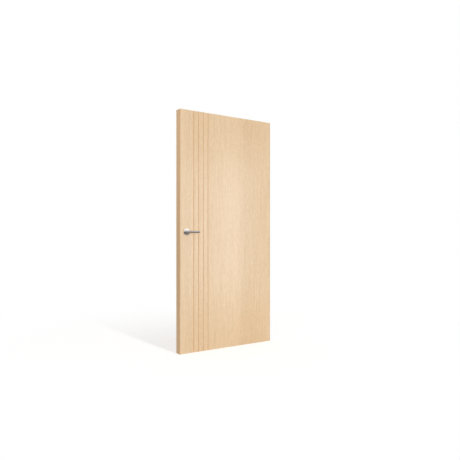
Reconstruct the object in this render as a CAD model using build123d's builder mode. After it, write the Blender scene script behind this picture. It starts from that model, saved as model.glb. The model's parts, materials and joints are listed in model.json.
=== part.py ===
"""Interior door: a veneered flush leaf with a lever handle set and three butt hinges.

Frame: +X points from the leaf to the jamb, +Y from the front face to the back face, +Z up.
The origin lies on the jamb side of the middle hinge's frame plate, at the middle of its screws.
All sizes are in millimetres.
"""
import os
from math import hypot, sqrt

from build123d import *

# Leaf
leaf_width = 959.0
leaf_height = 2097.0
leaf_thickness = 70.0
skin_thickness = 6.0
lipping_thickness = 6.0
latch_stile_width = 130.0
hinge_stile_width = 60.0
rail_height = 60.0
arris_rounding = 1.0

# Upright grooves in both faces, counted from the latch edge
groove_count = 4
first_groove = 132.5
groove_pitch = 47.2
groove_width = 6.0
groove_depth = 3.0

# Lever handle set
handle_height = 1046.0
backset = 64.0
rose_diameter = 60.0
rose_height = 11.0
rose_rim_height = 6.0
rose_wall = 1.5
rose_base_thickness = 5.0
rose_base_diameter = 42.0
rose_flange_thickness = 1.5
rose_snap_clearance = 0.1
rose_hole_clearance = 0.5
lever_diameter = 20.0
lever_reach = 100.0
lever_standoff = 48.0
lever_bend_radius = 18.0
lever_end_rounding = 1.5
lever_foot_clearance = 0.5
bearing_clearance = 0.05
spindle_width = 8.0
spindle_clearance = 0.05
spindle_socket_depth = 26.0
spindle_bore_diameter = 16.0
grub_diameter = 6.0
grub_clearance = 0.05
grub_offset = 7.0
grub_sink = 0.6
grub_key_width = 3.0
grub_key_depth = 2.5
bolt_diameter = 4.0
bolt_spacing = 30.0
bolt_clearance = 0.1
bolt_bore_diameter = 6.0
bolt_head_diameter = 7.0
bolt_head_height = 2.5

# Butt hinges
hinge_height = 120.0
plate_thickness = 3.0
let_in_depth = 36.0
let_in_clearance = 0.1
hinge_gap = 3.0
barrel_diameter = 14.0
barrel_clearance = 1.0
knuckle_count = 5
knuckle_gap = 0.3
pin_diameter = 8.0
pin_clearance = 0.05
pin_head_diameter = 12.0
pin_head_height = 3.0
pin_head_rounding = 1.2
top_hinge_drop = 180.0
bottom_hinge_rise = 240.0

# Countersunk wood screws
screw_diameter = 5.0
screw_head_diameter = 9.5
screw_length = 45.0
screw_clearance = 0.1
screw_column_pitch = 14.0
frame_screw_row_pitch = 80.0
leaf_screw_row_pitch = 64.0
screw_point_length = 6.0
screw_slot_width = 1.4
screw_slot_length = 5.0
screw_slot_depth = 1.6

# Places worked out from the sizes above
leaf_right = -(plate_thickness + hinge_gap)
leaf_left = leaf_right - leaf_width
leaf_back = let_in_depth / 2
leaf_front = leaf_back - leaf_thickness
hinge_span = leaf_height - top_hinge_drop - bottom_hinge_rise
leaf_bottom = -hinge_span / 2 - bottom_hinge_rise
leaf_top = leaf_bottom + leaf_height
skin_left = leaf_left + lipping_thickness
skin_right = leaf_right - lipping_thickness
core_front = leaf_front + skin_thickness
core_back = leaf_back - skin_thickness
latch_stile_right = skin_left + latch_stile_width
hinge_stile_left = skin_right - hinge_stile_width
rail_top = leaf_bottom + rail_height
rail_underside = leaf_top - rail_height

handle_x = leaf_left + backset
handle_z = leaf_bottom + handle_height
lever_radius = lever_diameter / 2
rose_radius = rose_diameter / 2
rose_hole_radius = lever_radius + rose_hole_clearance
rose_flange_radius = rose_radius - rose_wall - rose_snap_clearance

pin_x = -(plate_thickness + hinge_gap / 2)
pin_y = leaf_back + barrel_diameter / 2 + barrel_clearance
knuckle_length = (hinge_height - (knuckle_count - 1) * knuckle_gap) / knuckle_count
knuckle_pitch = knuckle_length + knuckle_gap
hinge_heights = {"top": hinge_span / 2, "middle": 0.0, "bottom": -hinge_span / 2}

# The two faces that carry a handle: where each face is, and which way it looks
sides = {"front": (leaf_front, -1), "back": (leaf_back, 1)}

os.makedirs("parts", exist_ok=True)


def finish(piece, name):
    """Label one finished piece and write it."""
    piece.part.label = name
    export_step(piece.part, f"parts/{name}.step")


def slab(left, right, front, back, bottom, top):
    """Add one straight board between two opposite corners to the open part."""
    with Locations(((left + right) / 2, (front + back) / 2, (bottom + top) / 2)):
        Box(right - left, back - front, top - bottom)


def face_plane(depth):
    """An upright plane through the leaf at the handle, with local X and Y along +X and +Z."""
    return Plane(origin=(handle_x, depth, handle_z), x_dir=(1, 0, 0), z_dir=(0, -1, 0))


def screw_plane(surface_x, centre_z, facing):
    """The plane of a hinge plate's countersinks, looking out of the plate."""
    return Plane(origin=(surface_x, 0, centre_z), x_dir=(0, 1, 0), z_dir=(facing, 0, 0))


# The spindle bore and the two bolt bores, drilled right through the leaf from its back face
with BuildSketch(face_plane(leaf_back)) as handle_bores:
    Circle(spindle_bore_diameter / 2)
    with GridLocations(0, bolt_spacing, 1, 2):
        Circle(bolt_bore_diameter / 2)

# Leaf frame and core
with BuildPart() as latch_stile:
    slab(skin_left, latch_stile_right, core_front, core_back, leaf_bottom, leaf_top)
    extrude(handle_bores.sketch, amount=leaf_thickness, mode=Mode.SUBTRACT)
finish(latch_stile, "latch_stile")

with BuildPart() as hinge_stile:
    slab(hinge_stile_left, skin_right, core_front, core_back, leaf_bottom, leaf_top)
    for hinge_z in hinge_heights.values():
        with BuildSketch(screw_plane(leaf_right, hinge_z, 1)):
            with GridLocations(screw_column_pitch, leaf_screw_row_pitch, 2, 2):
                Circle(screw_diameter / 2)
        extrude(amount=-screw_length, mode=Mode.SUBTRACT)
finish(hinge_stile, "hinge_stile")

with BuildPart() as top_rail:
    slab(latch_stile_right, hinge_stile_left, core_front, core_back, rail_underside, leaf_top)
finish(top_rail, "top_rail")

with BuildPart() as bottom_rail:
    slab(latch_stile_right, hinge_stile_left, core_front, core_back, leaf_bottom, rail_top)
finish(bottom_rail, "bottom_rail")

with BuildPart() as core_board:
    slab(latch_stile_right, hinge_stile_left, core_front, core_back, rail_top, rail_underside)
finish(core_board, "core_board")

# Grooved skins
groove_places = [leaf_left + first_groove + groove_pitch * count for count in range(groove_count)]
for side_name, (face_y, outward) in sides.items():
    inner_y = face_y - outward * skin_thickness
    groove_floor = face_y - outward * groove_depth
    outline = [(skin_left, inner_y), (skin_left, face_y)]
    for groove_x in groove_places:
        outline.append((groove_x - groove_width / 2, face_y))
        outline.append((groove_x, groove_floor))
        outline.append((groove_x + groove_width / 2, face_y))
    outline += [(skin_right, face_y), (skin_right, inner_y)]
    with BuildPart() as skin:
        with BuildSketch(Plane.XY.offset(leaf_bottom)):
            with BuildLine():
                Polyline(*outline, close=True)
            make_face()
        extrude(amount=leaf_height)
        extrude(handle_bores.sketch, amount=leaf_thickness, mode=Mode.SUBTRACT)
    finish(skin, f"{side_name}_skin")

# Solid lippings on the two long edges, the hinge side with its three recesses
with BuildPart() as latch_lipping:
    slab(leaf_left, skin_left, leaf_front, leaf_back, leaf_bottom, leaf_top)
    fillet(latch_lipping.edges().filter_by(Axis.Z).group_by(Axis.X)[0], arris_rounding)
finish(latch_lipping, "latch_lipping")

recess_depth_in_leaf = let_in_depth + let_in_clearance
recess_height = hinge_height + 2 * let_in_clearance
with BuildPart() as hinge_lipping:
    slab(skin_right, leaf_right, leaf_front, leaf_back, leaf_bottom, leaf_top)
    fillet(hinge_lipping.edges().filter_by(Axis.Z).group_by(Axis.X)[-1], arris_rounding)
    for hinge_z in hinge_heights.values():
        with BuildSketch(screw_plane(leaf_right, hinge_z, 1)):
            with Locations((-let_in_clearance / 2, 0)):
                Rectangle(recess_depth_in_leaf, recess_height)
        extrude(amount=-plate_thickness, mode=Mode.SUBTRACT)
        with BuildSketch(screw_plane(leaf_right, hinge_z, 1)):
            with GridLocations(screw_column_pitch, leaf_screw_row_pitch, 2, 2):
                Circle(screw_diameter / 2)
        extrude(amount=-screw_length, mode=Mode.SUBTRACT)
finish(hinge_lipping, "hinge_lipping")

# The rose's dome is part of a sphere centred on the spindle's line, this far from the leaf's face
dome_centre = (rose_height**2 + rose_hole_radius**2 - rose_rim_height**2 - rose_radius**2) / (
    2 * (rose_height - rose_rim_height))
dome_radius = hypot(rose_radius, rose_rim_height - dome_centre)


def dome_point(radius_from_axis, wall):
    """A point of the dome's outside, or of its inside where a wall is given, in the rose's own section."""
    return radius_from_axis, dome_centre + sqrt((dome_radius - wall) ** 2 - radius_from_axis**2)


# Roses, levers and their fixings on both faces
for side_name, (face_y, outward) in sides.items():
    face = Plane(origin=(handle_x, face_y, handle_z), x_dir=(1, 0, 0), z_dir=(0, outward, 0))
    section = Plane(origin=(handle_x, face_y, handle_z), x_dir=(1, 0, 0), z_dir=(0, 0, outward))
    outward_axis = Axis((handle_x, face_y, handle_z), (0, outward, 0))
    seat = (Align.CENTER, Align.CENTER, Align.MIN)

    with BuildPart(face) as rose_base:
        Cylinder(rose_flange_radius, rose_flange_thickness, align=seat)
        Cylinder(rose_base_diameter / 2, rose_base_thickness, align=seat)
        Cylinder(lever_radius + bearing_clearance, rose_base_thickness, align=seat, mode=Mode.SUBTRACT)
        with GridLocations(0, bolt_spacing, 1, 2):
            Cylinder(bolt_diameter / 2 + bolt_clearance, rose_base_thickness, align=seat, mode=Mode.SUBTRACT)
        if side_name == "back":
            with Locations((0, 0, rose_base_thickness - bolt_head_height)):
                with GridLocations(0, bolt_spacing, 1, 2):
                    Cylinder(bolt_head_diameter / 2 + bolt_clearance, bolt_head_height, align=seat,
                             mode=Mode.SUBTRACT)
    finish(rose_base, f"{side_name}_rose_base")

    rim_inside = rose_radius - rose_wall
    dome_middle = (rose_radius + rose_hole_radius) / 2
    with BuildPart() as rose:
        with BuildSketch(section):
            with BuildLine():
                Polyline((rim_inside, 0), (rose_radius, 0), dome_point(rose_radius, 0))
                ThreePointArc(dome_point(rose_radius, 0), dome_point(dome_middle, 0),
                              dome_point(rose_hole_radius, 0))
                Line(dome_point(rose_hole_radius, 0), dome_point(rose_hole_radius, rose_wall))
                ThreePointArc(dome_point(rose_hole_radius, rose_wall), dome_point(dome_middle, rose_wall),
                              dome_point(rim_inside, rose_wall))
                Line(dome_point(rim_inside, rose_wall), (rim_inside, 0))
            make_face()
        revolve(axis=outward_axis)
    finish(rose, f"{side_name}_rose")

    foot_y = face_y + outward * lever_foot_clearance
    grip_y = face_y + outward * lever_standoff
    with BuildPart() as lever:
        with BuildLine(Plane.XY.offset(handle_z)):
            FilletPolyline((handle_x, foot_y), (handle_x, grip_y), (handle_x + lever_reach, grip_y),
                           radius=lever_bend_radius)
        with BuildSketch(Plane(origin=(handle_x, foot_y, handle_z), x_dir=(1, 0, 0), z_dir=(0, outward, 0))):
            Circle(lever_radius)
        sweep()
        grip_end = lever.edges().filter_by(GeomType.CIRCLE).sort_by(Axis.X)[-1]
        fillet(grip_end, lever_end_rounding)
        with BuildSketch(Plane(origin=(handle_x, foot_y, handle_z), x_dir=(1, 0, 0), z_dir=(0, outward, 0))):
            Rectangle(spindle_width + 2 * spindle_clearance, spindle_width + 2 * spindle_clearance)
        extrude(amount=spindle_socket_depth, mode=Mode.SUBTRACT)
        grub_y = face_y + outward * (rose_height + grub_offset)
        with BuildSketch(Plane.XY.offset(handle_z)):
            with Locations((handle_x, grub_y)):
                Circle(grub_diameter / 2 + grub_clearance)
        extrude(amount=-lever_diameter, mode=Mode.SUBTRACT)
    finish(lever, f"{side_name}_lever")

    with BuildPart() as grub_screw:
        with BuildSketch(Plane.XY.offset(handle_z - lever_radius + grub_sink)):
            with Locations((handle_x, grub_y)):
                Circle(grub_diameter / 2)
        extrude(amount=lever_radius - grub_sink - spindle_width / 2)
        with BuildSketch(Plane.XY.offset(handle_z - lever_radius + grub_sink)):
            with Locations((handle_x, grub_y)):
                RegularPolygon(grub_key_width / 2, 6, major_radius=False)
        extrude(amount=grub_key_depth, mode=Mode.SUBTRACT)
    finish(grub_screw, f"{side_name}_grub_screw")

# Square spindle through the leaf, from one lever's socket to the other's
spindle_reach = lever_foot_clearance + spindle_socket_depth - spindle_clearance
with BuildPart() as spindle:
    with BuildSketch(face_plane(leaf_back + spindle_reach)):
        Rectangle(spindle_width, spindle_width)
    extrude(amount=leaf_thickness + 2 * spindle_reach)
finish(spindle, "spindle")

# Two bolts that pull the rose bases together through the leaf
bolt_head_seat = leaf_back + rose_base_thickness - bolt_head_height
with BuildPart() as rose_bolts:
    with BuildSketch(face_plane(bolt_head_seat)):
        with GridLocations(0, bolt_spacing, 1, 2):
            Circle(bolt_diameter / 2)
    extrude(amount=bolt_head_seat - leaf_front + rose_base_thickness)
    with BuildSketch(face_plane(bolt_head_seat)):
        with GridLocations(0, bolt_spacing, 1, 2):
            Circle(bolt_head_diameter / 2)
    extrude(amount=-bolt_head_height)
finish(rose_bolts, "rose_bolts")


def hinge_plate(centre_z, wood_x, facing, first_knuckle, screw_row_pitch):
    """One plate of a butt hinge with its knuckles. Its back lies at wood_x, its screws look along facing."""
    open_x = wood_x + facing * plate_thickness
    middle_x = (wood_x + open_x) / 2
    with BuildPart() as plate:
        with Locations((middle_x, 0, centre_z)):
            Box(plate_thickness, let_in_depth, hinge_height)
        for knuckle in range(first_knuckle, knuckle_count, 2):
            knuckle_z = centre_z - hinge_height / 2 + knuckle_length / 2 + knuckle * knuckle_pitch
            with Locations((middle_x, (leaf_back + pin_y) / 2, knuckle_z)):
                Box(plate_thickness, pin_y - leaf_back, knuckle_length)
            with Locations((pin_x, pin_y, knuckle_z)):
                Cylinder(barrel_diameter / 2, knuckle_length)
        with Locations((pin_x, pin_y, centre_z)):
            Cylinder(pin_diameter / 2 + pin_clearance, hinge_height, mode=Mode.SUBTRACT)
        with Locations(screw_plane(open_x, centre_z, facing)):
            with GridLocations(screw_column_pitch, screw_row_pitch, 2, 2):
                CounterSinkHole(screw_diameter / 2, screw_head_diameter / 2, plate_thickness)
    return plate


def hinge_pin(centre_z):
    """A pin through all knuckles, with a rounded head that rests on the top one."""
    with BuildPart() as pin:
        with BuildSketch(Plane(origin=(pin_x, pin_y, centre_z - hinge_height / 2))):
            Circle(pin_diameter / 2)
        extrude(amount=hinge_height)
        with BuildSketch(Plane(origin=(pin_x, pin_y, centre_z + hinge_height / 2))):
            Circle(pin_head_diameter / 2)
        extrude(amount=pin_head_height)
        crown_edge = pin.edges().filter_by(GeomType.CIRCLE).sort_by(Axis.Z)[-1]
        fillet(crown_edge, pin_head_rounding)
    return pin


def hinge_screws(centre_z):
    """The four countersunk screws that hold one hinge plate to the leaf."""
    shank_radius = screw_diameter / 2 - screw_clearance
    head_radius = screw_head_diameter / 2 - screw_clearance
    head_height = head_radius - shank_radius
    outline = [(0, 0), (head_radius, 0), (shank_radius, -head_height),
               (shank_radius, screw_point_length - screw_length), (0, -screw_length)]
    with BuildPart() as screw:
        with BuildSketch(Plane.XZ):
            with BuildLine():
                Polyline(*outline, close=True)
            make_face()
        revolve(axis=Axis.Z)
        with BuildSketch(Plane.XY):
            Rectangle(screw_slot_length, screw_slot_width)
            Rectangle(screw_slot_width, screw_slot_length)
        extrude(amount=-screw_slot_depth, mode=Mode.SUBTRACT)
    with BuildPart() as screws:
        with Locations(screw_plane(leaf_right, centre_z, 1)):
            with GridLocations(screw_column_pitch, leaf_screw_row_pitch, 2, 2):
                add(screw.part)
    return screws


# Three butt hinges
for hinge_name, hinge_z in hinge_heights.items():
    frame_plate = hinge_plate(hinge_z, 0.0, -1, 0, frame_screw_row_pitch)
    finish(frame_plate, f"{hinge_name}_hinge_frame_plate")
    leaf_plate = hinge_plate(hinge_z, leaf_right - plate_thickness, 1, 1, leaf_screw_row_pitch)
    finish(leaf_plate, f"{hinge_name}_hinge_leaf_plate")
    finish(hinge_pin(hinge_z), f"{hinge_name}_hinge_pin")
    finish(hinge_screws(hinge_z), f"{hinge_name}_hinge_screws")
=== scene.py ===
# %% [markdown]
# # An interior door in pale veneer
# The construction of this door is already made to size: a timber frame between two grooved skins, lippings
# on the long edges, a lever handle set and three butt hinges. Blender adds what the solids lack: the grain
# of the wood, the satin of the steel, softened edges, light and a camera.

# %% Load the frame and measure the leaf
import json
import math

import bmesh
import bpy
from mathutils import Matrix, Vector


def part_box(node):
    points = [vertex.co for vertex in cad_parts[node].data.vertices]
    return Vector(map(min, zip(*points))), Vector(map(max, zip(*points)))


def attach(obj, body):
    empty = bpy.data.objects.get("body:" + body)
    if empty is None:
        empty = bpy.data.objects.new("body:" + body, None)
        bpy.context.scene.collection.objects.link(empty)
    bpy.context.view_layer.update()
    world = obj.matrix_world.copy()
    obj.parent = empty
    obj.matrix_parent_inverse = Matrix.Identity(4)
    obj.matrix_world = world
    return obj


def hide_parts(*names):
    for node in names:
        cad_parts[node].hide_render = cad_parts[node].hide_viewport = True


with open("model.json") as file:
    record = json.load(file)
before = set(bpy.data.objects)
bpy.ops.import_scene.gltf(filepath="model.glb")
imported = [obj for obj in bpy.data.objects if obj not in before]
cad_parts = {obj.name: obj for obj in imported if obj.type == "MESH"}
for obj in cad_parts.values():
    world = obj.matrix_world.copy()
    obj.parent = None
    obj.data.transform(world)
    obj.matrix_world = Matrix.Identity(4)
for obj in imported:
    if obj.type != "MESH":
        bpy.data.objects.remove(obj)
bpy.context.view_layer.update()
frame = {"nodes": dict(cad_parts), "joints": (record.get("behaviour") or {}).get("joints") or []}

scene = bpy.context.scene

lipping_low, lipping_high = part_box("latch_lipping")
leaf_left, leaf_front, leaf_bottom = lipping_low
leaf_back = lipping_high.y
leaf_top = lipping_high.z
leaf_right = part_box("hinge_lipping")[1].x
handle_joint = next(joint for joint in frame["joints"] if joint["name"] == "lever_turn")
handle_x = handle_joint["pos_m"][0]
handle_z = handle_joint["pos_m"][2]
print(f"leaf {leaf_right - leaf_left:.3f} wide, {leaf_top - leaf_bottom:.3f} high")
print(f"leaf {leaf_back - leaf_front:.3f} thick, handle at x {handle_x:.3f}, z {handle_z:.4f}")

# %% [markdown]
# ## The camera
# The camera stands level, about a metre above the floor and left of the leaf, so that the upright edges stay
# upright and the latch edge just shows. It could be tilted to frame the leaf, but a level camera with a
# little vertical shift keeps the verticals parallel, as a camera for buildings does. Its place is measured
# from the front arris of the latch edge, and the lens follows from a focal length in pixels against the
# picture's width.

# %% Set up the camera
picture_width_px = 460
focal_length_px = 454.6
horizon_below_middle_px = 3.9
camera_left_of_arris = 1.694
camera_before_face = 3.508
camera_height = 1.0286
camera_heading = math.radians(32.075)

camera_data = bpy.data.cameras.new("camera")
camera_data.sensor_width = 36.0
camera_data.lens = camera_data.sensor_width * focal_length_px / picture_width_px
camera_data.shift_y = horizon_below_middle_px / picture_width_px
camera = bpy.data.objects.new("camera", camera_data)
camera.location.x = leaf_left - camera_left_of_arris
camera.location.y = leaf_front - camera_before_face
camera.location.z = leaf_bottom + camera_height
camera.rotation_euler = (math.pi / 2, 0.0, -camera_heading)
scene.collection.objects.link(camera)
scene.camera = camera
print(f"camera at {tuple(round(c, 3) for c in camera.location)}, lens {camera_data.lens:.2f} mm")

# %% [markdown]
# ## Node arithmetic
# A finish is a sum of patterns, and sums are easier to read as Python than as a web of Math nodes. The class
# below wraps one output socket. Its operators add Math nodes to the same tree, and its node method adds any
# other node. The same class serves shader trees and Geometry Nodes trees, because Math nodes work in both.


# %% A socket that can be reckoned with
class Wire:
    """One output socket of a node tree. Sums with it add Math nodes."""

    def __init__(self, tree, socket=None):
        self.tree = tree
        self.socket = socket

    def node(self, kind, settings=None, sockets=None, out=0):
        """Adds a node: its settings first, then a value, a wire or a list of wires for its sockets."""
        made = self.tree.nodes.new(kind)
        for name, value in (settings or {}).items():
            setattr(made, name, value)
        for name, value in (sockets or {}).items():
            if isinstance(value, Wire):
                value = [value]
            if isinstance(value, list):
                for wire in value:
                    self.tree.links.new(wire.socket, made.inputs[name])
            else:
                made.inputs[name].default_value = value
        return Wire(self.tree, made.outputs[out] if len(made.outputs) else None)

    def reckon(self, operation, first, second=0.0):
        """One Math node."""
        return self.node("ShaderNodeMath", {"operation": operation}, {0: first, 1: second})

    def __add__(self, other):
        return self.reckon("ADD", self, other)

    def __radd__(self, other):
        return self.reckon("ADD", other, self)

    def __sub__(self, other):
        return self.reckon("SUBTRACT", self, other)

    def __rsub__(self, other):
        return self.reckon("SUBTRACT", other, self)

    def __mul__(self, other):
        return self.reckon("MULTIPLY", self, other)

    def __rmul__(self, other):
        return self.reckon("MULTIPLY", other, self)

    def __truediv__(self, other):
        return self.reckon("DIVIDE", self, other)

    def __neg__(self):
        return self.reckon("MULTIPLY", self, -1.0)

    def __gt__(self, other):
        return self.reckon("GREATER_THAN", self, other)

    def __lt__(self, other):
        return self.reckon("LESS_THAN", self, other)

    def __abs__(self):
        return self.reckon("ABSOLUTE", self)

    def step(self, low, high):
        """Rises smoothly from 0 at low to 1 at high."""
        limits = {"Value": self, "From Min": low, "From Max": high}
        return self.node("ShaderNodeMapRange", {"interpolation_type": "SMOOTHSTEP"}, limits)

    def tint(self, low_colour, high_colour):
        """Mixes two colours by this value."""
        mixed = {0: self, 6: low_colour, 7: high_colour}
        return self.node("ShaderNodeMix", {"data_type": "RGBA"}, mixed, out=2)

    def vector(self, x=0.0, y=0.0, z=0.0):
        """A vector from three values."""
        return self.node("ShaderNodeCombineXYZ", None, {0: x, 1: y, 2: z})

    def parts(self):
        """The X, Y and Z of a vector."""
        split = self.node("ShaderNodeSeparateXYZ", None, {0: self}).socket.node
        return [Wire(self.tree, output) for output in split.outputs]


print("sockets can be added, multiplied and compared")

# %% [markdown]
# ## Materials
# Every finish of the door starts as an empty material and ends in one surface shader. Two small functions do
# that, so that each finish only says what is special about it. Patterns could follow a UV map, which every
# piece would then need. They read Object coordinates instead: those fill space as real wood does, so a cut
# through a piece shows the right section.


# %% Helpers for materials
def new_finish(name):
    """An empty material and a wire to start its tree."""
    material = bpy.data.materials.new(name)
    material.use_nodes = True
    material.node_tree.nodes.clear()
    return material, Wire(material.node_tree)


def close_finish(start, sockets):
    """Ends a material's tree in one surface shader."""
    shader = start.node("ShaderNodeBsdfPrincipled", None, sockets)
    start.node("ShaderNodeOutputMaterial", None, {"Surface": shader})


def paint(red, green, blue):
    """A colour socket's four numbers."""
    return red, green, blue, 1.0


def grey(level):
    """A colour with no hue."""
    return paint(level, level, level)


def object_place(start):
    """Where a point lies in the object."""
    return start.node("ShaderNodeTexCoord", out="Object")


def noise(start, place, detail):
    """Soft noise with one feature to each unit of the place."""
    return start.node("ShaderNodeTexNoise", None, {"Vector": place, "Scale": 1.0, "Detail": detail})


def bumped(start, height, strength, depth):
    """A surface direction tilted by a height pattern."""
    return start.node("ShaderNodeBump", None, {"Height": height, "Strength": strength, "Distance": depth})


print("materials can be opened and closed")

# %% [markdown]
# ## Wood grain
# Straight-grained wood is streaks at several widths: broad bands, lines of single rings, short flecks and
# fine pores. A photo of wood would show them all but repeats and stretches. Here each is a noise pattern
# squeezed across the grain and drawn out along it, which never repeats and can be made finer or broader by
# one number.

# %% Streaks along the grain
GRAIN_UPRIGHT = (True, True, False)
GRAIN_LEVEL = (False, True, True)
pore_start = 0.60
pore_full = 0.74
open_pore_depth = 0.5
grain_strength = 0.12
grain_depth = 0.0004


def streaks(start, across, along, seed, grain=GRAIN_UPRIGHT, detail=2.0):
    """Noise with so many features to the metre across the grain and along it."""
    scale = tuple(across if crosses else along for crosses in grain)
    drawn_out = start.node("ShaderNodeMapping", None, {
        "Vector": object_place(start), "Scale": scale, "Location": (seed, seed, seed)})
    return noise(start, drawn_out, detail)


def pores(start, across, along, seed):
    """Short dark pores: only the peaks of fine streaks."""
    return streaks(start, across, along, seed, detail=1.0).step(pore_start, pore_full)


def figured(base, shares, patterns):
    """How pale wood is: a base tone and a share of each pattern."""
    tone = base
    for name, share in shares.items():
        tone = tone + share * patterns[name]
    return tone


def planed(start, patterns):
    """The surface of planed wood: fine lines and open pores."""
    height = patterns["lines"] - open_pore_depth * patterns["pores"]
    return bumped(start, height, grain_strength, grain_depth)


print("grain patterns run upright or level")

# %% [markdown]
# ## The veneer
# The faces are covered with three sheets of pale straight-grained veneer laid side by side under a matt
# lacquer. The sheets differ a little in tone, and the paint grows paler towards the latch edge. Towards the
# hinge edge it grows paler too, as painted light where the lamps give less. The V-grooves are cut through
# the veneer, so their flanks are darker and redder, and their paint also holds painted shade for the hollow.
# The skin's ends show the board under it. Three objects with a material each would leave hard seams. One
# material that knows how far across and how deep a point lies blends the sheets and finds the grooves by
# itself.

# %% Veneer finish
veneer_pale = paint(0.905, 0.650, 0.400)
veneer_deep = paint(0.740, 0.486, 0.256)
# The cut wood's darker colour in the grooves, darkened further as painted shade for the hollow.
groove_wood_and_shade = paint(0.775, 0.410, 0.143)
board_pale = paint(0.580, 0.430, 0.280)
board_brown = paint(0.470, 0.340, 0.215)
board_start = 0.0006
board_full = 0.00072
end_tilt_start = 0.5
end_tilt_full = 0.6
crumbs_to_the_metre = 900.0
crumb_start = 0.3
crumb_full = 0.7
groove_shade_start = 0.0002
groove_shade_full = 0.0012
first_sheet_edge = leaf_left + 0.292
second_sheet_edge = leaf_left + 0.618
sheet_blend = 0.060
second_sheet_lift = 0.06
third_sheet_drop = 0.37
# Painted light: how much paler the paint grows by the hinge edge, where the lamps give less.
painted_hinge_light = 0.22
painted_hinge_blend = 0.25
latch_edge_lift = 0.28
latch_edge_blend = 0.11
veneer_base = -1.265
veneer_shares = {"bands": 0.15, "rings": 1.05, "lines": 0.90, "flecks": 1.65, "pores": -0.16}
lacquer_roughness = 0.28
lacquer_unevenness = 0.08
raw_roughness = 0.68
lacquer_specular = 0.8


def sheet_tone_and_light(start):
    """Paler or deeper paint across the leaf: sheet tones, and painted light by the hinge edge."""
    x = object_place(start).parts()[0]
    second_sheet = x.step(first_sheet_edge - sheet_blend, first_sheet_edge + sheet_blend)
    third_sheet = x.step(second_sheet_edge - sheet_blend, second_sheet_edge + sheet_blend)
    # Paler paint by the hinge edge is painted light.
    painted_hinge_mask = x.step(leaf_right - painted_hinge_blend, leaf_right)
    latch_edge = 1.0 - x.step(leaf_left, leaf_left + latch_edge_blend)
    sheets = second_sheet_lift * second_sheet - third_sheet_drop * third_sheet
    edges = painted_hinge_light * painted_hinge_mask + latch_edge_lift * latch_edge
    return sheets + edges


def veneer_finish():
    """Lacquered veneer with darker grooves that hold painted shade, and raw board at its ends."""
    material, start = new_finish("veneer")
    patterns = {
        "bands": streaks(start, across=14.0, along=0.5, seed=0.0, detail=1.0),
        "rings": streaks(start, across=130.0, along=2.6, seed=3.0, detail=3.0),
        "lines": streaks(start, across=420.0, along=14.0, seed=7.0, detail=3.0),
        "flecks": streaks(start, across=320.0, along=36.0, seed=9.0),
        "pores": pores(start, across=1500.0, along=28.0, seed=11.0)}
    tone = figured(veneer_base, veneer_shares, patterns) + sheet_tone_and_light(start)
    wood = tone.tint(veneer_deep, veneer_pale)
    y = object_place(start).parts()[1]
    facing_z = start.node("ShaderNodeNewGeometry", out="Normal").parts()[2]
    depth = (leaf_back - leaf_front) / 2 - abs(y - (leaf_front + leaf_back) / 2)
    # The groove paint is the cut wood's darker colour and painted shade for the hollow of the groove.
    grooved = depth.step(groove_shade_start, groove_shade_full).tint(wood, groove_wood_and_shade)
    raw_end = abs(facing_z).step(end_tilt_start, end_tilt_full) * depth.step(board_start, board_full)
    crumb = streaks(start, crumbs_to_the_metre, crumbs_to_the_metre, seed=5.0).step(crumb_start, crumb_full)
    lacquer = lacquer_roughness + lacquer_unevenness * patterns["lines"]
    close_finish(start, {
        "Base Color": raw_end.tint(grooved, crumb.tint(board_brown, board_pale)),
        "Roughness": lacquer + (raw_roughness - lacquer_roughness) * raw_end,
        "Specular IOR Level": lacquer_specular,
        "Normal": planed(start, patterns),
    })
    return material


veneer = veneer_finish()
print(f"veneer in three sheets, joined at {first_sheet_edge:.3f} and {second_sheet_edge:.3f}")

# %% [markdown]
# ## The lippings
# Each long edge is closed by a solid strip of the same species, planed and lacquered. It is a little warmer
# than the veneer, with upright grain of its own. The veneer's material could serve, but its grain would run
# straight on round the corner, as it never does on two pieces of wood. So the same streaks with other widths
# and seeds make a finish of their own.

# %% Lipping finish
lipping_pale = paint(0.920, 0.620, 0.360)
lipping_deep = paint(0.770, 0.485, 0.260)
lipping_base = 0.05
lipping_shares = {"bands": 0.45, "rings": 0.40, "lines": 0.30, "pores": -0.15}
lipping_roughness = 0.50
lipping_unevenness = 0.10
lipping_specular = 0.2


def lipping_finish():
    """Planed solid wood under a thin lacquer."""
    material, start = new_finish("lipping")
    patterns = {
        "bands": streaks(start, across=45.0, along=0.8, seed=21.0, detail=1.0),
        "rings": streaks(start, across=190.0, along=1.6, seed=23.0, detail=3.0),
        "lines": streaks(start, across=700.0, along=6.0, seed=27.0, detail=3.0),
        "pores": pores(start, across=1600.0, along=34.0, seed=29.0)}
    tone = figured(lipping_base, lipping_shares, patterns)
    close_finish(start, {
        "Base Color": tone.tint(lipping_deep, lipping_pale),
        "Roughness": lipping_roughness + lipping_unevenness * patterns["lines"],
        "Specular IOR Level": lipping_specular,
        "Normal": planed(start, patterns),
    })
    return material


lipping = lipping_finish()
print("lippings in solid wood")

# %% [markdown]
# ## The timber inside
# The frame between the skins shows only at the top and bottom edges: end grain on the stiles, long grain on
# the rails. A flat stripe texture would need one picture for the end and one for the side. Rings measured
# from a pith line well outside the board give arcs on the end and lines on the side from one formula. The
# core between them is particle board, whose chips are the cells of a Voronoi pattern.

# %% Timber and core finishes
timber_pale = paint(0.780, 0.610, 0.400)
timber_deep = paint(0.560, 0.380, 0.205)
chip_pale = paint(0.700, 0.560, 0.390)
chip_deep = paint(0.450, 0.330, 0.210)
ring_spacing = 0.0032
ring_wander = 0.006
late_wood_start = 0.35
late_wood_end = 0.95
early_wood_share = 0.55
saw_line_share = 0.40
sawn_roughness = 0.62
sawn_unevenness = 0.12
chips_to_the_metre = 260.0
chip_roughness = 0.8


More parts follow.
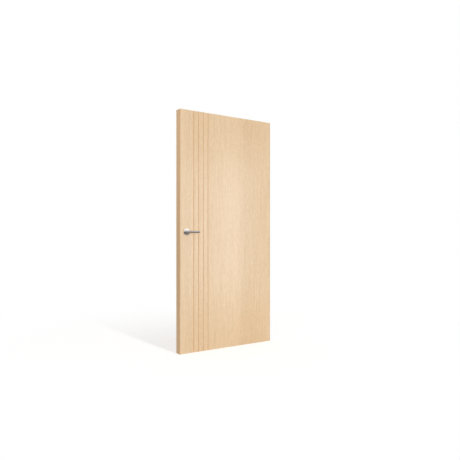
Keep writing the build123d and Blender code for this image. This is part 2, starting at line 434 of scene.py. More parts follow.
def timber_finish(name, grain, pith_across, pith_y):
    """Sawn softwood with rings round a pith line along the grain."""
    material, start = new_finish(name)
    x, y, z = object_place(start).parts()
    across = (x if grain == GRAIN_UPRIGHT else z) - pith_across
    deep = y - pith_y
    wander = streaks(start, across=30.0, along=1.2, seed=31.0, grain=grain)
    distance = start.reckon("SQRT", across * across + deep * deep) + ring_wander * wander
    phase = start.reckon("FRACT", distance / ring_spacing)
    late_wood = phase.step(late_wood_start, late_wood_end) * (1.0 - phase.step(late_wood_end, 1.0))
    lines = streaks(start, across=900.0, along=9.0, seed=37.0, grain=grain)
    tone = early_wood_share * (1.0 - late_wood) + saw_line_share * lines
    close_finish(start, {
        "Base Color": tone.tint(timber_deep, timber_pale),
        "Roughness": sawn_roughness + sawn_unevenness * lines,
        "Normal": bumped(start, lines, strength=0.25, depth=0.0006),
    })
    return material


def core_finish():
    """Raw particle board."""
    material, start = new_finish("core")
    cells = start.node("ShaderNodeTexVoronoi", None, {
        "Vector": object_place(start), "Scale": chips_to_the_metre}, out="Color")
    chips = cells.parts()[0].tint(chip_deep, chip_pale)
    close_finish(start, {"Base Color": chips, "Roughness": chip_roughness})
    return material


stile_timber = timber_finish(
    "stile_timber", GRAIN_UPRIGHT, pith_across=leaf_left + 0.02, pith_y=leaf_front - 0.16)
rail_timber = timber_finish(
    "rail_timber", GRAIN_LEVEL, pith_across=leaf_top + 0.12, pith_y=leaf_front - 0.05)
core = core_finish()
print("stiles show end grain above, rails long grain")

# %% [markdown]
# ## Steel
# The handle is satin stainless steel. The lever was brushed along its length and the rose was spun, so its
# marks run round the middle. An anisotropic shader could fake both, but marks that can be seen need a
# pattern that follows the work: the lever's reads two attributes of its mesh, how far along the bar a point
# lies and where around it, and the rose's reads the radius. Hinges are brushed upright, and hidden fixings
# are zinc plated.

# %% Steel finishes
lever_grey = paint(0.610, 0.600, 0.600)
rose_grey = paint(0.940, 0.930, 0.920)
hinge_grey = paint(0.600, 0.595, 0.590)
screw_grey = paint(0.580, 0.580, 0.585)
zinc_grey = paint(0.520, 0.540, 0.570)
fine_marks = 2600.0
long_marks = 25.0
marks_to_the_radian = 0.8
marks_through_the_wall = 300.0
spangles_to_the_metre = 900.0
noise_middle = 0.5
mark_tone = 0.2
mark_roughness = 0.12
mark_depth = 0.00004


def close_steel(start, marks, colour, roughness):
    """Ends a steel's tree: its marks vary the tone, the roughness and the surface a little."""
    swing = marks - noise_middle
    close_finish(start, {
        "Base Color": (1.0 + mark_tone * swing).tint(grey(0.0), colour),
        "Metallic": 1.0,
        "Roughness": roughness + mark_roughness * swing,
        "Normal": bumped(start, marks, strength=0.10, depth=mark_depth),
    })


def lever_finish():
    """Steel brushed along the bar."""
    material, start = new_finish("lever_steel")
    along = start.node("ShaderNodeAttribute", {"attribute_name": "along"}, out="Fac")
    around = start.node("ShaderNodeAttribute", {"attribute_name": "around"}, out="Vector").parts()
    lengthwise = start.vector(along * long_marks, around[0] * fine_marks, around[1] * fine_marks)
    close_steel(start, noise(start, lengthwise, detail=2.0), lever_grey, roughness=0.18)
    return material


def rose_finish():
    """Steel spun round the spindle's line."""
    material, start = new_finish("rose_steel")
    x, y, z = object_place(start).parts()
    x = x - handle_x
    z = z - handle_z
    radius = start.reckon("SQRT", x * x + z * z)
    turn = start.reckon("ARCTAN2", z, x)
    spun = start.vector(radius * fine_marks, turn * marks_to_the_radian, y * marks_through_the_wall)
    close_steel(start, noise(start, spun, detail=2.0), rose_grey, roughness=0.18)
    return material


def upright_brushed_finish(name, colour, roughness):
    """Steel brushed up and down."""
    material, start = new_finish(name)
    close_steel(start, streaks(start, across=2200.0, along=45.0, seed=41.0), colour, roughness)
    return material


def zinc_finish():
    """Zinc plating with a fine spangle."""
    material, start = new_finish("zinc_steel")
    spangle = streaks(start, spangles_to_the_metre, spangles_to_the_metre, seed=43.0, detail=3.0)
    close_steel(start, spangle, zinc_grey, roughness=0.36)
    return material


lever_steel = lever_finish()
rose_steel = rose_finish()
hinge_steel = upright_brushed_finish("hinge_steel", hinge_grey, roughness=0.30)
screw_steel = upright_brushed_finish("screw_steel", screw_grey, roughness=0.26)
zinc_steel = zinc_finish()
print("five steel finishes")

# %% [markdown]
# ## Geometry Nodes pieces
# Some pieces follow a rule: a skin is one section pulled along the leaf, a lever is a circle led round a
# bend, and screws repeat. Each could be modelled point by point, but as a node tree with named inputs the
# rule is written once and both faces or all hinges share it. A tree runs on an empty object, and the result
# is kept as a plain mesh.

# %% Helpers for node trees
SOCKETS = {"size": "NodeSocketFloat", "place": "NodeSocketVector", "material": "NodeSocketMaterial"}


def new_tree(name, sizes, places):
    """A Geometry Nodes tree as a starting wire, and a wire for each named input and its material."""
    kinds = {**dict.fromkeys(sizes, "size"), **dict.fromkeys(places, "place"), "Material": "material"}
    tree = bpy.data.node_groups.new(name, "GeometryNodeTree")
    for title, kind in kinds.items():
        tree.interface.new_socket(title, in_out="INPUT", socket_type=SOCKETS[kind])
    tree.interface.new_socket("Geometry", in_out="OUTPUT", socket_type="NodeSocketGeometry")
    entry = tree.nodes.new("NodeGroupInput")
    return Wire(tree), {title: Wire(tree, entry.outputs[title]) for title in kinds}


def moved(shape, by, turn=(0.0, 0.0, 0.0)):
    """A shape turned and then moved."""
    return shape.node("GeometryNodeTransform", None, {
        "Geometry": shape, "Translation": by, "Rotation": turn})


def cut(shape, *tools):
    """A solid with other solids cut out of it."""
    solids = {"Mesh 1": shape, "Mesh 2": list(tools)}
    return shape.node("GeometryNodeMeshBoolean", {"operation": "DIFFERENCE"}, solids)


def fused(*shapes):
    """Several solids fused into one."""
    return shapes[0].node("GeometryNodeMeshBoolean", {"operation": "UNION"}, {"Mesh 2": list(shapes)})


def points_in_a_row(start, count, position):
    """A curve whose points go where a formula on their number sends them."""
    row = start.node("GeometryNodeMeshLine", None, {"Count": count})
    curve = start.node("GeometryNodeMeshToCurve", None, {"Mesh": row})
    return start.node("GeometryNodeSetPosition", None, {"Geometry": curve, "Position": position})


def close_tree(start, shape, material):
    """Ends a tree in plain geometry with its material."""
    plain = start.node("GeometryNodeRealizeInstances", None, {"Geometry": shape})
    finished = start.node("GeometryNodeSetMaterial", None, {"Geometry": plain, "Material": material})
    start.node("NodeGroupOutput", None, {0: finished})
    print(f"{start.tree.name}: a tree of {len(start.tree.nodes)} nodes")


print("trees can be opened and closed")


# %% Helpers for the pieces that trees make
def grow(name, start, values, smooth_angle):
    """Runs a tree on an empty object and keeps the result as a plain mesh."""
    piece = bpy.data.objects.new(name, bpy.data.meshes.new(name))
    scene.collection.objects.link(piece)
    modifier = piece.modifiers.new("rule", "NODES")
    modifier.node_group = start.tree
    for item in start.tree.interface.items_tree:
        if item.in_out == "INPUT":
            modifier[item.identifier] = values[item.name]
    graph = bpy.context.evaluated_depsgraph_get()
    mesh = bpy.data.meshes.new_from_object(
        piece.evaluated_get(graph), preserve_all_data_layers=True, depsgraph=graph)
    piece.modifiers.remove(modifier)
    piece.data = mesh
    mesh.shade_smooth()
    mesh.set_sharp_from_angle(angle=math.radians(smooth_angle))
    print(f"{name}: {len(mesh.polygons)} faces")
    return piece


def settle(piece, body, node):
    """Hands a finished piece to the frame: its body, and the solid it stands for, which it hides."""
    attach(piece, body)
    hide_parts(node)


print("pieces can be grown and settled")

# %% [markdown]
# ## The grooved skins
# A skin is a thin board with four upright V-grooves, the same section from bottom to top. The plain solid
# has knife-sharp grooves, and a bevel would also round its outer edges. The tree lays a row of points, sends
# each to its place in the section by its number, rounds only the groove's corners and pulls the outline up
# the leaf. The bores for the handle are drilled afterwards, as a joiner drills them.
#
# Points are counted from 0: the start of the face, three to a groove, the end of the face and the two
# corners inside. A count is compared with a value half-way between two whole numbers.

# %% Skin tree: the section
groove_count = 4
points_per_groove = 3
last_groove_point = groove_count * points_per_groove
fillet_points = 4

skin, skin_size = new_tree("grooved skin", sizes=[
    "Start", "End", "Face", "Inside", "Bottom", "Top", "First groove", "Groove step", "Groove width",
    "Groove depth", "Rounding", "Spindle bore", "Bolt bore", "Bolt spacing"], places=["Bore place"])
number = skin.node("GeometryNodeInputIndex")
in_groove = (number > 0.5) * (number < last_groove_point + 0.5)
at_end = (number > last_groove_point + 0.5) * (number < last_groove_point + 2.5)
at_start = 1.0 - in_groove - at_end
inside = number > last_groove_point + 1.5
groove = skin.reckon("FLOOR", (number - 1.0) / points_per_groove)
corner = number - 2.0 - points_per_groove * groove
across_groove = skin.reckon("SIGN", skin_size["Groove step"]) * corner * skin_size["Groove width"] * 0.5
groove_x = skin_size["First groove"] + skin_size["Groove step"] * groove + across_groove
thickness = skin_size["Inside"] - skin_size["Face"]
sunk = in_groove * (1.0 - abs(corner)) * skin.reckon("SIGN", thickness) * skin_size["Groove depth"]
section_x = in_groove * groove_x + at_start * skin_size["Start"] + at_end * skin_size["End"]
section_y = skin_size["Face"] + inside * thickness + sunk
section = points_in_a_row(skin, last_groove_point + 4, skin.vector(section_x, section_y))
section = skin.node("GeometryNodeSetSplineCyclic", None, {"Geometry": section, "Cyclic": True})
section = skin.node("GeometryNodeFilletCurve", {"mode": "POLY"}, {
    "Curve": section, "Count": fillet_points, "Radius": in_groove * skin_size["Rounding"],
    "Limit Radius": True})
print("section with", groove_count, "grooves")

# %% Skin tree: pull it up and drill it
bore_reach = 0.1
bore_sides = 48
quarter_turn = math.pi / 2


def bore(diameter):
    """A drill through the skin, standing upright."""
    return skin.node("GeometryNodeMeshCylinder", None, {
        "Vertices": bore_sides, "Radius": diameter * 0.5, "Depth": bore_reach})


rise = skin.node("GeometryNodeCurvePrimitiveLine", None, {
    "Start": skin.vector(z=skin_size["Bottom"]), "End": skin.vector(z=skin_size["Top"])})
board = skin.node("GeometryNodeCurveToMesh", None, {
    "Curve": rise, "Profile Curve": section, "Fill Caps": True})
bolt_places = skin.node("GeometryNodeMeshLine", None, {
    "Count": 2, "Start Location": skin.vector(y=skin_size["Bolt spacing"] * -0.5),
    "Offset": skin.vector(y=skin_size["Bolt spacing"])})
bolt_bores = skin.node("GeometryNodeInstanceOnPoints", None, {
    "Points": bolt_places, "Instance": bore(skin_size["Bolt bore"])})
bores = skin.node("GeometryNodeJoinGeometry", None, {0: [bolt_bores, bore(skin_size["Spindle bore"])]})
bores = skin.node("GeometryNodeRealizeInstances", None, {"Geometry": bores})
bores = moved(bores, by=skin_size["Bore place"], turn=(quarter_turn, 0.0, 0.0))
close_tree(skin, cut(board, bores), skin_size["Material"])

# %% Grow both skins
first_groove = leaf_left + 0.1325
groove_pitch = 0.0472
last_groove = first_groove + groove_pitch * (groove_count - 1)
skin_sizes = {
    "Bottom": leaf_bottom, "Top": leaf_top, "Groove width": 0.006, "Groove depth": 0.003, "Rounding": 0.0007,
    "Spindle bore": 0.016, "Bolt bore": 0.006, "Bolt spacing": 0.030, "Material": veneer}
front_low, front_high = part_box("front_skin")
back_low, back_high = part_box("back_skin")
front_face = grow("front_face", skin, {
    **skin_sizes, "Start": front_low.x, "End": front_high.x, "Face": front_low.y, "Inside": front_high.y,
    "First groove": first_groove, "Groove step": groove_pitch,
    "Bore place": (handle_x, front_low.y, handle_z)}, smooth_angle=25)
back_face = grow("back_face", skin, {
    **skin_sizes, "Start": back_high.x, "End": back_low.x, "Face": back_high.y, "Inside": back_low.y,
    "First groove": last_groove, "Groove step": -groove_pitch,
    "Bore place": (handle_x, back_high.y, handle_z)}, smooth_angle=25)
settle(front_face, "leaf", "front_skin")
settle(back_face, "leaf", "back_skin")

# %% [markdown]
# ## The levers
# A lever is one round steel bar, bent through a right angle and cut off flat with a softened rim. A bevelled
# curve would do for the bend but not for the rim. The tree gives each ring of the bar a number: the first
# sits at the foot, the next ones turn round the bend and the last ones draw in over the rim. Two attributes
# remember how far along and where around the bar each point lies, for the brushing. The spindle's square
# socket and the hole of the grub screw are cut out last.

# %% Lever tree: the path of the bar
bend_rings = 20
rim_rings = 6
ring_count = bend_rings + rim_rings + 2

lever, lever_size = new_tree("lever", sizes=[
    "Side", "Foot", "Stand-off", "Reach", "Bend", "Bar", "Rim", "Socket", "Socket depth", "Grub hole",
    "Grub place"], places=["Axis"])
ring = lever.node("GeometryNodeInputIndex")
past_foot = ring > 0.5
past_bend = ring > bend_rings + 0.5
bend_share = lever.node("ShaderNodeClamp", None, {"Value": (ring - 1.0) / (bend_rings - 1.0)})
rim_share = lever.node("ShaderNodeClamp", None, {"Value": (ring - bend_rings - 1.0) / rim_rings})
bend_turn = bend_share * quarter_turn
rim_turn = rim_share * quarter_turn
bend_x = lever_size["Bend"] * (1.0 - lever.reckon("COSINE", bend_turn))
bend_y = lever_size["Stand-off"] - lever_size["Bend"] * (1.0 - lever.reckon("SINE", bend_turn))
rim_x = lever_size["Reach"] - lever_size["Rim"] * (1.0 - lever.reckon("SINE", rim_turn))
bar_x = (1.0 - past_bend) * bend_x + past_bend * rim_x
bar_y = (1.0 - past_foot) * lever_size["Foot"] + past_foot * bend_y
ring_radius = lever_size["Bar"] - lever_size["Rim"] * (1.0 - lever.reckon("COSINE", rim_turn))
bar_path = points_in_a_row(lever, ring_count, lever.vector(bar_x, bar_y * lever_size["Side"]))
print("bar of", ring_count, "rings")

# %% Lever tree: the bar and its holes
bar_sides = 48


def remembered(shape, kind, name, value):
    """A shape whose points carry a value under a name."""
    return shape.node("GeometryNodeStoreNamedAttribute", {"data_type": kind, "domain": "POINT"}, {
        "Geometry": shape, "Name": name, "Value": value})


bar_path = remembered(bar_path, "FLOAT", "along", lever.node("GeometryNodeSplineParameter", out="Length"))
bar_section = lever.node("GeometryNodeCurvePrimitiveCircle", None, {
    "Resolution": bar_sides, "Radius": lever_size["Bar"]})
bar_section = remembered(bar_section, "FLOAT_VECTOR", "around", lever.node("GeometryNodeInputPosition"))
bar = lever.node("GeometryNodeCurveToMesh", None, {
    "Curve": bar_path, "Profile Curve": bar_section, "Scale": ring_radius / lever_size["Bar"],
    "Fill Caps": True})
socket = lever.node("GeometryNodeMeshCube", None, {
    "Size": lever.vector(lever_size["Socket"], lever_size["Socket depth"] * 2.0, lever_size["Socket"])})
socket = moved(socket, by=lever.vector(y=lever_size["Side"] * lever_size["Foot"]))
grub_hole = lever.node("GeometryNodeMeshCylinder", None, {
    "Vertices": bore_sides, "Radius": lever_size["Grub hole"] * 0.5, "Depth": lever_size["Bar"] * 2.0})
grub_place = lever.vector(y=lever_size["Side"] * lever_size["Grub place"], z=-lever_size["Bar"])
holed_bar = cut(bar, socket, moved(grub_hole, by=grub_place))
close_tree(lever, moved(holed_bar, by=lever_size["Axis"]), lever_size["Material"])

# %% Grow both levers
bar_radius = 0.010
lever_low, lever_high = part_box("front_lever")
grub_low, grub_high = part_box("front_grub_screw")
lever_sizes = {
    "Foot": 0.0005, "Stand-off": leaf_front - lever_low.y - bar_radius, "Reach": lever_high.x - handle_x,
    "Bend": 0.018, "Bar": bar_radius, "Rim": 0.0015, "Socket": 0.0081, "Socket depth": 0.026,
    "Grub hole": 0.0061, "Grub place": leaf_front - (grub_low.y + grub_high.y) / 2, "Material": lever_steel}
sides = {"front": (leaf_front, -1.0), "back": (leaf_back, 1.0)}
for side_name, (face_y, outward) in sides.items():
    bar_piece = grow(f"{side_name}_lever_bar", lever, {
        **lever_sizes, "Axis": (handle_x, face_y, handle_z), "Side": outward}, smooth_angle=40)
    settle(bar_piece, "handle", f"{side_name}_lever")

# %% [markdown]
# ## The roses
# A rose is a thin domed cap, pressed from sheet and spun bright. A squashed sphere would have no rim and no
# wall, so a lathe makes it: the section, with a softened rim and hole, is turned round the spindle's line.
# The dome is part of a sphere through the rim and the hole.

# %% A lathe
lathe_steps = 96
lathe_smooth_angle = math.radians(35)
weld_distance = 1e-6
corner_steps = 5


def turned(name, section, axis_point, axis, material):
    """Turns a closed section of (radius, height) points round an axis."""
    shape = bmesh.new()
    side = axis.orthogonal().normalized()
    other = axis.cross(side)
    rings = []
    for step in range(lathe_steps):
        turn = 2 * math.pi * step / lathe_steps
        arm = math.cos(turn) * side + math.sin(turn) * other
        places = [axis_point + radius * arm + height * axis for radius, height in section]
        rings.append([shape.verts.new(place) for place in places])
    for step in range(lathe_steps):
        here = rings[step - 1]
        there = rings[step]
        for point in range(len(section)):
            shape.faces.new((here[point - 1], here[point], there[point], there[point - 1]))
    bmesh.ops.remove_doubles(shape, verts=shape.verts, dist=weld_distance)
    bmesh.ops.recalc_face_normals(shape, faces=shape.faces)
    mesh = bpy.data.meshes.new(name)
    shape.to_mesh(mesh)
    shape.free()
    mesh.materials.append(material)
    mesh.shade_smooth()
    mesh.set_sharp_from_angle(angle=lathe_smooth_angle)
    piece = bpy.data.objects.new(name, mesh)
    scene.collection.objects.link(piece)
    print(f"{name}: {len(mesh.polygons)} faces")
    return piece


def soft_corner(before, corner, after, radius):
    """Points of an arc that rounds a corner of a section."""
    corner = Vector(corner)
    to_before = (Vector(before) - corner).normalized()
    to_after = (Vector(after) - corner).normalized()
    half_angle = to_before.angle(to_after) / 2
    centre = corner + (to_before + to_after).normalized() * (radius / math.sin(half_angle))
    reach = radius / math.tan(half_angle)
    first = (corner + to_before * reach - centre).normalized()
    last = (corner + to_after * reach - centre).normalized()
    arc = [first.slerp(last, step / corner_steps) for step in range(corner_steps + 1)]
    return [tuple(centre + radius * arm) for arm in arc]


print("sections can be turned and their corners softened")

# %% Turn both roses
rose_low, rose_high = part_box("front_rose")
rose_radius = rose_high.x - handle_x
rose_height = leaf_front - rose_low.y
rose_rim = 0.006
rose_wall = 0.0015
rose_hole = 0.0105
rim_softness = 0.0007
hole_softness = 0.0004
rim_margin = 0.0012
hole_margin = 0.0008
dome_steps = 16
dome_centre = (rose_height**2 + rose_hole**2 - rose_rim**2 - rose_radius**2) / (2 * (rose_height - rose_rim))
dome_radius = math.hypot(rose_radius, rose_rim - dome_centre)


def dome(radius, wall=0.0):
    """A point on the dome's outside, or inside the wall."""
    return radius, dome_centre + math.sqrt((dome_radius - wall) ** 2 - radius**2)


def spread(first, last):
    """Evenly spaced radii from one to another."""
    return [first + (last - first) * step / dome_steps for step in range(dome_steps + 1)]


rim_inside = rose_radius - rose_wall
outer_dome = [dome(radius) for radius in spread(rose_radius - rim_margin, rose_hole + hole_margin)]
inner_dome = [dome(radius, rose_wall) for radius in spread(rose_hole, rim_inside)]
rose_section = [(rim_inside, 0.0), (rose_radius, 0.0)]
rose_section += soft_corner((rose_radius, 0.0), dome(rose_radius), outer_dome[0], rim_softness)
rose_section += outer_dome
rose_section += soft_corner(outer_dome[-1], dome(rose_hole), inner_dome[0], hole_softness)
rose_section += inner_dome
for side_name, (face_y, outward) in sides.items():
    foot = Vector((handle_x, face_y, handle_z))
    rose = turned(f"{side_name}_rose_cap", rose_section, foot, Vector((0.0, outward, 0.0)), rose_steel)
    settle(rose, "leaf", f"{side_name}_rose")

# %% [markdown]
# ## The hinge screws
# Twelve countersunk screws hold the hinge plates to the leaf. They could be copied by hand, but one screw
# set on the points of a grid stays the same everywhere. The screw is a stack of cones: a head, a shank and a
# point, fused into one solid, with a cross cut into the head.

# %% Screw tree
screw_sides = 40

screws, screw_size = new_tree("hinge screws", sizes=[
    "Column pitch", "Row pitch", "Head radius", "Shank radius", "Length", "Point", "Slot width",
    "Slot length", "Slot depth"], places=["Place"])
head_radius = screw_size["Head radius"]
shank_radius = screw_size["Shank radius"]
head_height = head_radius - shank_radius
shank_length = screw_size["Length"] - screw_size["Point"] - head_height


def taper(top_radius, bottom_radius, height, bottom):
    """A cone on the screw's own line, with its lower end at a given height."""
    cone = screws.node("GeometryNodeMeshCone", {"fill_type": "NGON"}, {
        "Vertices": screw_sides, "Radius Top": top_radius, "Radius Bottom": bottom_radius, "Depth": height})
    return moved(cone, by=screws.vector(z=bottom))


def slot_arm(length_x, length_y):
    """One arm of the cross, as high above the head as it is deep."""
    size = screws.vector(length_x, length_y, screw_size["Slot depth"] * 2.0)
    return screws.node("GeometryNodeMeshCube", None, {"Size": size})


head = taper(head_radius, shank_radius, head_height, bottom=-head_height)
shank = taper(shank_radius, shank_radius, shank_length, bottom=-(head_height + shank_length))
tip = taper(shank_radius, 0.0, screw_size["Point"], bottom=-screw_size["Length"])
long_arm = slot_arm(screw_size["Slot length"], screw_size["Slot width"])
cross_arm = slot_arm(screw_size["Slot width"], screw_size["Slot length"])
screw = cut(fused(head, shank, tip), fused(long_arm, cross_arm))
screw_places = screws.node("GeometryNodeMeshGrid", None, {
    "Size X": screw_size["Column pitch"], "Size Y": screw_size["Row pitch"],
    "Vertices X": 2, "Vertices Y": 2})
placed = screws.node("GeometryNodeInstanceOnPoints", None, {"Points": screw_places, "Instance": screw})
placed = moved(placed, by=screw_size["Place"], turn=(quarter_turn, 0.0, quarter_turn))
close_tree(screws, placed, screw_size["Material"])

# %% Grow the screws
screw_sizes = {
    "Column pitch": 0.014, "Row pitch": 0.064, "Head radius": 0.00465, "Shank radius": 0.0024,
    "Length": 0.045, "Point": 0.006, "Slot width": 0.0014, "Slot length": 0.005, "Slot depth": 0.0016,
    "Material": screw_steel}
hinge_names = ("top", "middle", "bottom")
for hinge_name in hinge_names:
    screws_low, screws_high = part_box(f"{hinge_name}_hinge_screws")
    screws_middle = (screws_low + screws_high) / 2
    set_of_screws = grow(f"{hinge_name}_hinge_wood_screws", screws, {
        **screw_sizes, "Place": (screws_high.x, screws_middle.y, screws_middle.z)}, smooth_angle=30)
    settle(set_of_screws, "leaf", f"{hinge_name}_hinge_screws")

# %% [markdown]
# ## Finishes on the solids that stay
# The lippings, the timber, the hinge plates and the fixings already have their true shape, so a new mesh
# would only repeat them. They keep their mesh and take a finish.

# %% Dress the solids
finishes = {
    "latch_lipping": lipping, "hinge_lipping": lipping, "latch_stile": stile_timber,
    "hinge_stile": stile_timber, "top_rail": rail_timber, "bottom_rail": rail_timber, "core_board": core,
    "spindle": zinc_steel, "rose_bolts": zinc_steel}
for side_name in sides:
    finishes[f"{side_name}_rose_base"] = zinc_steel
    finishes[f"{side_name}_grub_screw"] = zinc_steel
for hinge_name in hinge_names:
    for hinge_part in ("frame_plate", "leaf_plate", "pin"):
        finishes[f"{hinge_name}_hinge_{hinge_part}"] = hinge_steel
for node_name, finish in finishes.items():
    node_mesh = frame["nodes"][node_name].data
    node_mesh.materials.clear()
    node_mesh.materials.append(finish)
print(len(finishes), "solids dressed")

# %% [markdown]
# ## Lamps
# A bright white world alone would flatten the leaf, so softboxes shape it. A long strip high in front casts
# the one crisp shadow behind the leaf. A large fill evens the front, a second one the back, and a small box
# lifts the edges. A tall box, a little cool as daylight is, stands where the camera's view mirrors off the
# lacquer and gives the soft sheen. If all of them reached the floor, their shadows would blur the crisp
# one. So all but the strip are linked to the wood alone, as a grid on a softbox keeps its light in place,
# and only the wood shades the strip, so that the lever draws no long shadow. A lamp's level is how bright a
# white card turned to it looks.

# %% Softboxes
face_middle = Vector(((leaf_left + leaf_right) / 2, leaf_front, (leaf_bottom + leaf_top) / 2))
sheen_spot = Vector((leaf_left + 0.50, leaf_front, leaf_bottom + 1.0))
sheen_place = sheen_spot + Vector((1.19, -2.14, 0.05))
sheen_tint = (0.77, 0.89, 1.0)
edge_spot = Vector((leaf_left, leaf_back, leaf_top - 0.4))
edge_place = edge_spot + Vector((-2.2, 0.4, 0.8))
back_place = face_middle + Vector((0.6, 5.0, 0.0))


def softbox(name, place, aim, width, length, level, mirrored=False):
    """A rectangular lamp. At a level of 1, a white card at the aim, turned to the lamp, renders white."""
    throw = aim - place
    lamp_data = bpy.data.lights.new(name, "AREA")
    lamp_data.shape = "RECTANGLE"
    lamp_data.size = width
    lamp_data.size_y = length
    lamp_data.energy = level * math.pi**2 * throw.length_squared
    lamp = bpy.data.objects.new(name, lamp_data)
    lamp.location = place
    lamp.rotation_euler = throw.to_track_quat("-Z", "Y").to_euler()
    lamp.visible_camera = False
    lamp.visible_glossy = mirrored
    scene.collection.objects.link(lamp)
    print(f"{name}: level {level} from {throw.length:.1f} m")
    return lamp


def before_face(turn, rise, throw):
    """A place so far from the middle of the front face, in degrees towards the hinges and above level."""
    turn = math.radians(turn)
    rise = math.radians(rise)
    level_throw = throw * math.cos(rise)
    offset = Vector((level_throw * math.sin(turn), -level_throw * math.cos(turn), throw * math.sin(rise)))
    return face_middle + offset


def gathered(name, pieces):
    """A collection of some pieces."""
    group = bpy.data.collections.new(name)
    for piece in pieces:
        group.objects.link(piece)
    return group


strip_place = before_face(turn=4.7, rise=60, throw=18.0)
fill_place = before_face(turn=-12, rise=4, throw=5.0)
faces_of_leaf = [front_face, back_face]
edges_of_leaf = [
    frame["nodes"][node_name] for node_name, finish in finishes.items()
    if finish in (lipping, stile_timber, rail_timber)]
strip = softbox("strip", strip_place, face_middle, width=0.7, length=13.0, level=0.30)
fill = softbox("fill", fill_place, face_middle, width=3.0, length=2.0, level=0.275)
back = softbox("back", back_place, face_middle, width=3.0, length=2.0, level=0.42)
edge = softbox("edge", edge_place, edge_spot, width=1.2, length=1.2, level=0.31)
sheen = softbox("sheen", sheen_place, sheen_spot, width=0.9, length=2.05, level=0.315, mirrored=True)
sheen.data.color = sheen_tint
sheen.light_linking.receiver_collection = gathered("faces", faces_of_leaf)
wood = gathered("wood", faces_of_leaf + edges_of_leaf)
for lamp in (fill, back, edge):
    lamp.light_linking.receiver_collection = wood
strip.light_linking.blocker_collection = wood

# %% [markdown]
# ## Floor and background
# The leaf stands on a white studio floor in front of white. A floor that is only lit shows its far edge as a
# grey line. So the floor is part paint, which takes the shadow, and part glow, and with distance from the
# leaf it turns to glow alone. The light it sends back up is a little cool, against the warm light that the
# wood throws on it. The world is pure white where the camera, a mirror or glass looks at it, and dimmer as a
# light, so that the wood keeps its colour.


# %% White for the eye
def seen_white(start):
    """1 for the rays of the camera, of mirrors and of glass, 0 for light that spreads."""
    camera_ray = start.node("ShaderNodeLightPath", out="Is Camera Ray")
    mirror_ray = start.node("ShaderNodeLightPath", out="Is Glossy Ray")
    glass_ray = start.node("ShaderNodeLightPath", out="Is Transmission Ray")
    return start.reckon("MAXIMUM", camera_ray, start.reckon("MAXIMUM", mirror_ray, glass_ray))


sky_light = 0.56
world = bpy.data.worlds.new("studio")
world.use_nodes = True
world.node_tree.nodes.clear()
sky = Wire(world.node_tree)
sky_level = sky_light + (1.0 - sky_light) * seen_white(sky)
sky_glow = sky.node("ShaderNodeBackground", None, {"Color": grey(1.0), "Strength": sky_level})
sky.node("ShaderNodeOutputWorld", None, {"Surface": sky_glow})
scene.world = world
scene.view_settings.view_transform = "Standard"
print("white world with a light of", sky_light)

# %% Floor
floor_half_width = 12.0
floor_drop = 0.0005
floor_seen = 0.65
floor_bounce = paint(0.550, 0.595, 0.690)
floor_glow = 0.50
floor_fade_start = 0.7
floor_fade_end = 3.0


def floor_finish():
    """White paint near the leaf, pure white further away."""
    material, start = new_finish("studio_floor")
    x, y = object_place(start).parts()[:2]
    x = x - face_middle.x
    away = start.reckon("SQRT", x * x + y * y).step(floor_fade_start, floor_fade_end)
    camera_ray = start.node("ShaderNodeLightPath", out="Is Camera Ray")
    near_paint = camera_ray.tint(floor_bounce, grey(floor_seen))
    shade = start.node("ShaderNodeBsdfDiffuse", None, {"Color": away.tint(near_paint, grey(0.0))})
    glow_level = floor_glow + (1.0 - floor_glow) * away
    glow = start.node("ShaderNodeEmission", None, {"Strength": glow_level * seen_white(start)})
    both = start.node("ShaderNodeAddShader", None, {0: shade, 1: glow})
    start.node("ShaderNodeOutputMaterial", None, {"Surface": both})
    return material


def stage_card(name, points, faces, material):
    """A flat mesh that belongs to the studio, not to the door."""
    mesh = bpy.data.meshes.new(name)
    mesh.from_pydata(points, [], faces)
    mesh.materials.append(material)
    card = bpy.data.objects.new(name, mesh)
    scene.collection.objects.link(card)
    return card


floor_corners = [(-1, -1), (1, -1), (1, 1), (-1, 1)]
floor_z = leaf_bottom - floor_drop
floor_points = [(x * floor_half_width, y * floor_half_width, floor_z) for x, y in floor_corners]
stage_card("studio_floor", floor_points, [(0, 1, 2, 3)], floor_finish())
print("floor", 2 * floor_half_width, "m wide")

# %% [markdown]
# ## Flags
# Satin steel only looks like steel when it has something dark to mirror. In a white studio a photographer
# stands dark cards around it, called flags. One dark card would leave a hard black shape on the dome. Here
# they are rings round the handle, each with its own grey: a ground that is darkest below the handle, a dark
# skirting in front, low walls above it, paler by the latch than by the hinges, a grey wall behind and a
# ceiling. White world is left between the walls and the ceiling. Only mirrors see the flags, so they don't
# show in the picture and cast no shadow.

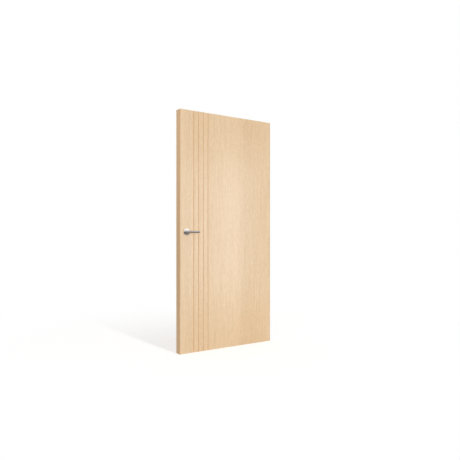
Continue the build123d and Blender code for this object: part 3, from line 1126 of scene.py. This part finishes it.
# %% Dark flags for the steel to mirror
flag_steps = 64
flag_radius = 5.5
near_ground_radius = 2.2
ground_below_radius = 0.9
flag_foot = leaf_bottom + 0.002
low_wall_top = handle_z + 1.1
high_wall_top = handle_z + 1.6
ceiling_radius = 2.64
ceiling_height = handle_z + 5.03
flag_tint = paint(1.0, 0.93, 0.91)


def flag(name, points, faces, level):
    """A card that only mirrors see, as dark as its level."""
    material, start = new_finish(name)
    glow = start.node("ShaderNodeEmission", None, {"Color": flag_tint, "Strength": level})
    start.node("ShaderNodeOutputMaterial", None, {"Surface": glow})
    card = stage_card(name, points, faces, material)
    card.visible_camera = False
    card.visible_diffuse = False
    card.visible_transmission = False
    card.visible_shadow = False


def circle(radius, height):
    """Points of a level circle round the handle, counted from the hinge side by way of the back."""
    turns = [2 * math.pi * step / flag_steps for step in range(flag_steps)]
    return [(handle_x + radius * math.cos(turn), radius * math.sin(turn), height) for turn in turns]


def band(name, low, high, quarters, level):
    """A flag between two circles, over some of the four quarters of the turn."""
    faces = []
    for step in range(quarters[0] * flag_steps // 4, quarters[1] * flag_steps // 4):
        after = (step + 1) % flag_steps
        faces.append((step, after, flag_steps + after, flag_steps + step))
    flag(name, low + high, faces, level)


wall_foot = circle(flag_radius, flag_foot)
horizon = circle(flag_radius, handle_z)
low_wall = circle(flag_radius, low_wall_top)
high_wall = circle(flag_radius, high_wall_top)
near_ground = circle(near_ground_radius, flag_foot)
ground_below = circle(ground_below_radius, flag_foot)
disc = [tuple(range(flag_steps))]
band("wall_behind", wall_foot, low_wall, quarters=(0, 2), level=0.40)
band("skirting_in_front", wall_foot, horizon, quarters=(2, 4), level=0.12)
band("wall_by_the_latch", horizon, high_wall, quarters=(2, 3), level=0.62)
band("wall_by_the_hinges", horizon, low_wall, quarters=(3, 4), level=0.24)
band("far_ground", near_ground, wall_foot, quarters=(0, 4), level=0.19)
band("near_ground", ground_below, near_ground, quarters=(0, 4), level=0.37)
flag("ground_below", ground_below, disc, level=0.10)
flag("ceiling", circle(ceiling_radius, ceiling_height), disc, level=0.25)
print(f"flags up to {high_wall_top:.2f} and at {ceiling_height:.2f}")
